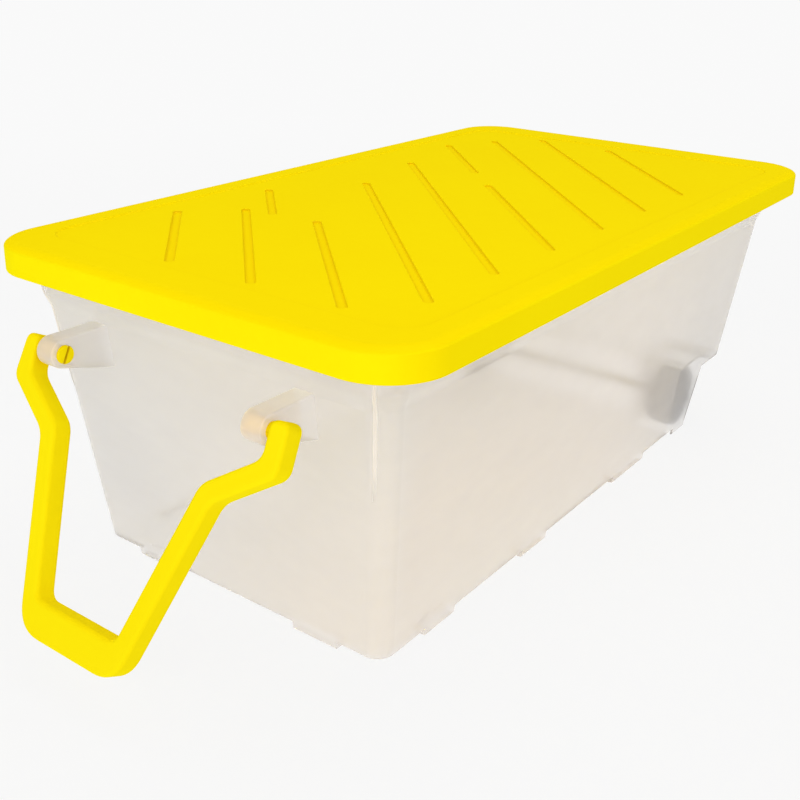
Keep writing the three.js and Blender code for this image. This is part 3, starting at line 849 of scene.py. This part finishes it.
def lid_shape(name, shrink, low, high, foot, curve):
    """The lid as a filled solid with a curve (across, down) round its top and a softened lower edge."""
    across, down = curve
    rings = [lid_ring(shrink + foot, low), lid_ring(shrink + foot * 0.3, low + foot * 0.3)]
    rings.append(lid_ring(shrink, low + foot))
    for a in quarter(12):
        inset = LID_DRAFT + across * (1 - math.cos(a))
        rings.append(lid_ring(shrink + inset, high - down * (1 - math.sin(a))))
    return stack(name, rings)


def capsule(name, start, end, levels, steps=10):
    """A bar with round ends in plan, through (half width, z) levels."""
    start = np.array(start, float)
    end = np.array(end, float)
    along = math.atan2(*(end - start)[::-1])
    rings = []
    for half, z in levels:
        ring = []
        for centre, turn in ((end, -0.5), (start, 0.5)):
            for i in range(steps + 1):
                a = along + math.pi * (turn + i / steps)
                ring.append((centre[0] + half * math.cos(a), centre[1] + half * math.sin(a), z))
        rings.append(np.array(ring))
    return stack(name, rings)


def groove_ends():
    """Start and end of every groove in the lid's panel."""
    ends = []

    def run(total, near, far):
        x0 = min(near, total + GROOVE_REACH_Y)
        x1 = max(far, total - GROOVE_REACH_Y)
        ends.append(((x0, total - x0), (x1, total - x1)))

    for k, (far, more) in enumerate(GROOVES):
        total = GROOVE_FIRST + k * GROOVE_PITCH
        run(total, GROOVE_REACH_X, far)
        if more:
            run(total + more[1], more[0], -GROOVE_REACH_X)
    return ends


def locating_rib(under):
    """A low wall under the lid that sits just inside the tub's mouth."""
    radius = LOCATING_RIB["radius"]
    thick = LOCATING_RIB["thick"]
    low = under - LOCATING_RIB["deep"]
    half_x = MOUTH["half_x"] + SHOULDER_PROUD - WALL - LOCATING_RIB["gap"]
    half_y = half_x + MOUTH["rear"] - MOUTH["half_x"]
    rib = slab("rib", half_x, half_y, radius, low, under + BITE)
    inner = [v - thick for v in (half_x, half_y, radius)]
    return cut(rib, slab("rib_hollow", *inner, low - BITE, under + 2 * BITE))


def make_lid(material):
    """The lid: skirt, crowned edge, sunk panel and diagonal grooves, each groove walled underneath."""
    under = LID_TOP - LID_WALL
    panel_top = LID_TOP - PANEL_SUNK
    groove_low = panel_top - GROOVE_DEPTH
    lid = lid_shape("lid_cover", 0, LID_BOTTOM, LID_TOP, LID_FOOT_EDGE, LID_CROWN)
    cut(lid, lid_shape("lid_hollow", LID_WALL, LID_BOTTOM - BITE, under, 0, LID_HOLLOW))
    add(lid, locating_rib(under))
    size = (PANEL["half_x"], PANEL["half_y"], PANEL["radius"])
    add(lid, slab("panel_under", *size, panel_top - LID_WALL, under + BITE))
    levels = []
    for t in np.linspace(0, 1, 9):
        levels.append((PANEL_SLOPE * t, panel_top + PANEL_SUNK * (3 * t * t - 2 * t**3)))
    levels.append((PANEL_SLOPE, LID_TOP + 2 * BITE))
    rings = []
    for grow, z in levels:
        half_x, half_y, radius = (v + grow for v in size)
        rings.append(rect(half_x, half_y, half_y, radius, z))
    cut(lid, stack("panel", rings))
    half = GROOVE_WIDTH / 2
    f = GROOVE_FILLET
    profile = [(half - f + f * math.sin(a), groove_low + f * (1 - math.cos(a))) for a in quarter(5)]
    profile += [(half + f * (1 - math.cos(a)), panel_top - f + f * math.sin(a)) for a in quarter(5)]
    profile.append((half + f, LID_TOP + BITE))
    for start, end in groove_ends():
        ridge = half + GROOVE_RIDGE
        add(lid, capsule("ridge", start, end, [(ridge, groove_low - LID_WALL), (ridge, under)]))
    for start, end in groove_ends():
        cut(lid, capsule("groove", start, end, profile))
    finish_piece(lid, material, "lid", "lid")


# ------------------------------------------------------------------ handle


def side_points(path, sign, halves):
    """A polyline moved sideways, each segment by its own half width."""
    path = np.array(path, float)
    steps = np.diff(path, axis=0)
    steps /= np.linalg.norm(steps, axis=1)[:, None]
    normals = np.stack([-steps[:, 1], steps[:, 0]], axis=1)
    result = [path[0] + sign * halves[0] * normals[0]]
    for i in range(1, len(path) - 1):
        pair = np.array([normals[i - 1], normals[i]])
        result.append(path[i] + np.linalg.solve(pair, sign * np.array([halves[i - 1], halves[i]])))
    result.append(path[-1] + sign * halves[-1] * normals[-1])
    return result


def make_handle(material):
    """The flat cranked bail with its two split pins, turned to its rest angle."""
    right = [(out, -down) for out, down in BAIL]
    path = right + [(-x, y) for x, y in reversed(right)]
    halves = [ARM_HALF] * 3 + [GRIP_HALF] + [ARM_HALF] * 3
    outer = side_points(path, 1, halves)
    inner = side_points(path, -1, halves)
    reach = [GRIP_CORNER if i in (3, 4) else BAIL_CORNER for i in range(8)] + [BAIL_CORNER] * 8
    outline = rounded(outer + inner[::-1], reach, 10)
    ahead = np.roll(outline, -1, axis=0)
    if np.sum(outline[:, 0] * ahead[:, 1] - outline[:, 1] * ahead[:, 0]) < 0:
        outline = outline[::-1]
    half = BAIL_THICK / 2
    bend = [(BAIL_EDGE * (1 - math.sin(a)), half - BAIL_EDGE * (1 - math.cos(a))) for a in quarter(8)]
    levels = [(inset, -depth) for inset, depth in bend] + bend[::-1]
    rings = []
    for inset, depth in levels:
        rings.append(np.array([(x, y, depth) for x, y in offset_outline(outline, inset)]))
    handle = stack("handle_bail", rings)
    tip = LUG["inner"] - CLEARANCE - PIN_HEAD_THICK
    root = BAIL[0][0]
    for side in (-1, 1):
        profile = [
            (PIN_HOLLOW, tip), (PIN_HEAD - 1.2, tip), (PIN_HEAD - 0.3, tip + 0.5), (PIN_HEAD, tip + 1.2),
            (PIN_HEAD, tip + PIN_HEAD_THICK), (PIN_RADIUS, tip + PIN_HEAD_THICK),
            (PIN_RADIUS, root), (PIN_HOLLOW, root),
        ]
        pin = revolve("pin", [(r, side * x) for r, x in profile], ROUND_STEPS, (0, 0))
        add(pin, turned("core", [(PIN_CORE, side * tip), (PIN_CORE, side * root)], (0, 0), 12))
        xs = sorted((side * (tip - BITE), side * (tip + PIN_SLIT["deep"])))
        low = (xs[0], -PIN_HEAD - BITE, -PIN_SLIT["half"])
        cut(pin, block("slit", low, (xs[1], PIN_HEAD + BITE, PIN_SLIT["half"])))
        add(handle, pin)
    turn = Matrix.Rotation(math.pi / 2 - BAIL_REST, 4, "X")
    handle.data.transform(Matrix.Translation((0, pivot_y * MM, pivot_z * MM)) @ turn)
    finish_piece(handle, material, "handle", "handle")


# ------------------------------------------------------------------ wheels, rod and caps


def make_pair(side, piece, name):
    """The piece itself on the right, or a mirrored copy in its place on the left."""
    if side < 0:
        copy = mirrored(piece, name)
        bpy.data.objects.remove(piece)
        piece = copy
    piece.name = name
    return piece


def make_wheel(side, label, material):
    """A hollow wheel with spokes on both faces of its web and a fine groove round the tread."""
    middle = (WHEEL["inner"] + WHEEL["outer"]) / 2
    hub_inner = wheel_low[0]
    hub_outer = wheel_high[0]
    hub = WHEEL["hub"]
    rim_radius = WHEEL["radius"]
    inside = rim_radius - WHEEL["tread"]
    web = WHEEL["web"]
    groove = WHEEL_GROOVE["half"]
    # Radius, X and the reach of the rounding at each corner of the wheel's section.
    corners = [
        (ROD_BORE, hub_inner, 0.4), (hub, hub_inner, 1), (hub, middle - web, 2),
        (inside, middle - web, 2), (inside, WHEEL["inner"], 1), (rim_radius, WHEEL["inner"], 3),
        (rim_radius, middle - groove, 0.2), (rim_radius - WHEEL_GROOVE["deep"], middle, 0.3),
        (rim_radius, middle + groove, 0.2), (rim_radius, WHEEL["outer"], 3),
        (inside, WHEEL["outer"], 1), (inside, middle + web, 2), (hub, middle + web, 2),
        (hub, hub_outer, 1), (ROD_BORE, hub_outer, 0.4),
    ]
    profile = rounded([c[:2] for c in corners], [c[2] for c in corners], 5)
    wheel = revolve("wheel", profile, WHEEL_STEPS, (axle_y, axle_z))
    for k in range(SPOKES):
        low = (WHEEL["inner"] + 2, -SPOKE_HALF, hub - BITE)
        spoke = block("spoke", low, (WHEEL["outer"] - 2, SPOKE_HALF, inside + BITE))
        turn = Matrix.Rotation(k * 2 * math.pi / SPOKES, 4, "X")
        spoke.data.transform(Matrix.Translation((0, axle_y * MM, axle_z * MM)) @ turn)
        add(wheel, spoke)
    wheel = make_pair(side, wheel, f"wheel_roller_{label}")
    finish_piece(wheel, material, f"wheel_{label}", f"wheel_{label}")


def make_rod(material):
    """The rod, with slightly rounded chamfers at its ends."""
    half = rod_high[0]
    radius = (rod_high[2] - rod_low[2]) / 2
    end = [(radius - 0.8, -half), (radius - 0.3, -half + 0.25), (radius, -half + 0.8)]
    end += [(r, -x) for r, x in reversed(end)]
    rod = turned("axle_bar", end, (axle_y, axle_z))
    finish_piece(rod, material, "box", "axle_rod")


def make_cap(side, label, material):
    """A push-on cap: a cup with a domed end over the end of the rod."""
    inner = cap_low[0]
    outer = cap_high[0]
    radius = CAP["radius"]
    bottom = outer - CAP["floor"]
    # Radius, X and the reach of the rounding at each corner of the cap's section.
    corners = [
        (0, outer, 0), (0, bottom, 0), (ROD_BORE, bottom, 0.2), (ROD_BORE, inner, 0.2),
        (radius, inner, 0.5), (radius, outer - CAP["dome_from"], 1.5),
        (radius - CAP["dome_inset"], outer, 2),
    ]
    section = rounded([c[:2] for c in corners], [c[2] for c in corners], 5)
    off_axis = section[2:]
    cap = make_pair(side, turned("cap", off_axis, (axle_y, axle_z)), f"push_cap_{label}")
    finish_piece(cap, material, "box", f"axle_cap_{label}")


# ------------------------------------------------------------------ floor, light and camera


def make_stage():
    """A pale paper floor just below the feet and wheels."""
    reach = 9000
    corners = ((-reach, -reach), (reach, -reach), (reach, reach), (-reach, reach))
    level = -foot_height - 0.05
    floor = new_object("studio_floor", [(x, y, level) for x, y in corners], [(0, 1, 2, 3)])
    s = Shader("studio_paper")
    fibre = s.noise(60, 4, 0.6)
    brightness = s.ramp(fibre, 0.3, 0.7, 0.948, 0.952)
    glow = s.call("Emission", {"Color": (1, 1, 1), "Strength": brightness})
    matt = s.call("BsdfDiffuse", {"Color": (0.9, 0.9, 0.9)})
    far = s.call("VectorMath", {0: s.place}, "Value", operation="LENGTH")
    share = s.smooth(far, 0.5, 2.0, 0.08, 0.0)
    floor.data.materials.append(s.surface(s.blend(share, glow, matt)))


def make_world():
    """Even light from all round, behind a background that the camera sees as pale grey."""
    world = bpy.data.worlds.new("studio_air")
    bpy.context.scene.world = world
    world.use_nodes = True
    tree = world.node_tree
    tree.nodes.clear()
    out = tree.nodes.new("ShaderNodeOutputWorld")
    seen = tree.nodes.new("ShaderNodeBackground")
    seen.inputs["Color"].default_value = (0.945, 0.945, 0.945, 1)
    light = tree.nodes.new("ShaderNodeBackground")
    light.inputs["Color"].default_value = (1, 1, 1, 1)
    light.inputs["Strength"].default_value = 0.56
    path = tree.nodes.new("ShaderNodeLightPath")
    mixed = tree.nodes.new("ShaderNodeMixShader")
    tree.links.new(path.outputs["Is Camera Ray"], mixed.inputs[0])
    tree.links.new(light.outputs[0], mixed.inputs[1])
    tree.links.new(seen.outputs[0], mixed.inputs[2])
    tree.links.new(mixed.outputs[0], out.inputs["Surface"])


def area_light(name, place, target, size, power):
    """A rectangular lamp at a place in metres, turned towards a target."""
    data = bpy.data.lights.new(name, "AREA")
    data.shape = "RECTANGLE"
    data.size, data.size_y = size
    data.energy = power
    lamp = bpy.data.objects.new(name, data)
    lamp.location = place
    lamp.rotation_euler = (Vector(target) - Vector(place)).to_track_quat("-Z", "Y").to_euler()
    bpy.context.scene.collection.objects.link(lamp)


def make_camera():
    """The camera, placed by its azimuth, elevation, roll and distance from the point it looks at."""
    azimuth = math.radians(36.22)
    elevation = math.radians(23.73)
    roll = math.radians(1.14)
    distance = 0.5522
    aim = Vector((0.2292, -0.3952, 0.261))
    back = Vector((
        math.sin(azimuth) * math.cos(elevation),
        -math.cos(azimuth) * math.cos(elevation),
        math.sin(elevation),
    ))
    across = Vector((math.cos(azimuth), math.sin(azimuth), 0))
    upright = back.cross(across)
    right = math.cos(roll) * across + math.sin(roll) * upright
    up = -math.sin(roll) * across + math.cos(roll) * upright
    data = bpy.data.cameras.new("studio_camera")
    data.sensor_width = 36
    data.lens = 48.75
    data.clip_start = 0.01
    camera = bpy.data.objects.new("studio_camera", data)
    turn = Matrix((right, up, back)).transposed().to_4x4()
    camera.matrix_world = Matrix.Translation(aim + back * distance) @ turn
    bpy.context.scene.collection.objects.link(camera)
    bpy.context.scene.camera = camera


# Each yellow is its own tone, then a darker, more orange tone painted as shade on faces turned up or
# sideways.
lid_yellow = moulded_yellow("lid_yellow", (0.98, 0.86, 0.002), (0.98, 0.77, 0.001))
handle_yellow = moulded_yellow("handle_yellow", (0.98, 0.83, 0.004), (0.98, 0.8, 0.003))
charcoal = wheel_plastic("charcoal", (0.045, 0.045, 0.048))
make_tub(frosted_plastic())
make_lid(lid_yellow)
make_handle(handle_yellow)
make_rod(drawn_steel())
for hand, hand_name in ((-1, "left"), (1, "right")):
    make_wheel(hand, hand_name, charcoal)
    make_cap(hand, hand_name, charcoal)
make_stage()
make_world()
area_light("key", (0.5, -2.3, 1.5), (0, 0, 0.15), (1.5, 1.1), 16.5)
area_light("top", (0.1, 0.7, 2.6), (0, 0.15, 0.2), (1.8, 1.8), 19.5)
area_light("side", (1.7, -1.3, 0.8), (0.1, -0.2, 0.1), (0.9, 0.7), 5)
make_camera()
bpy.context.scene.view_settings.view_transform = "Standard"
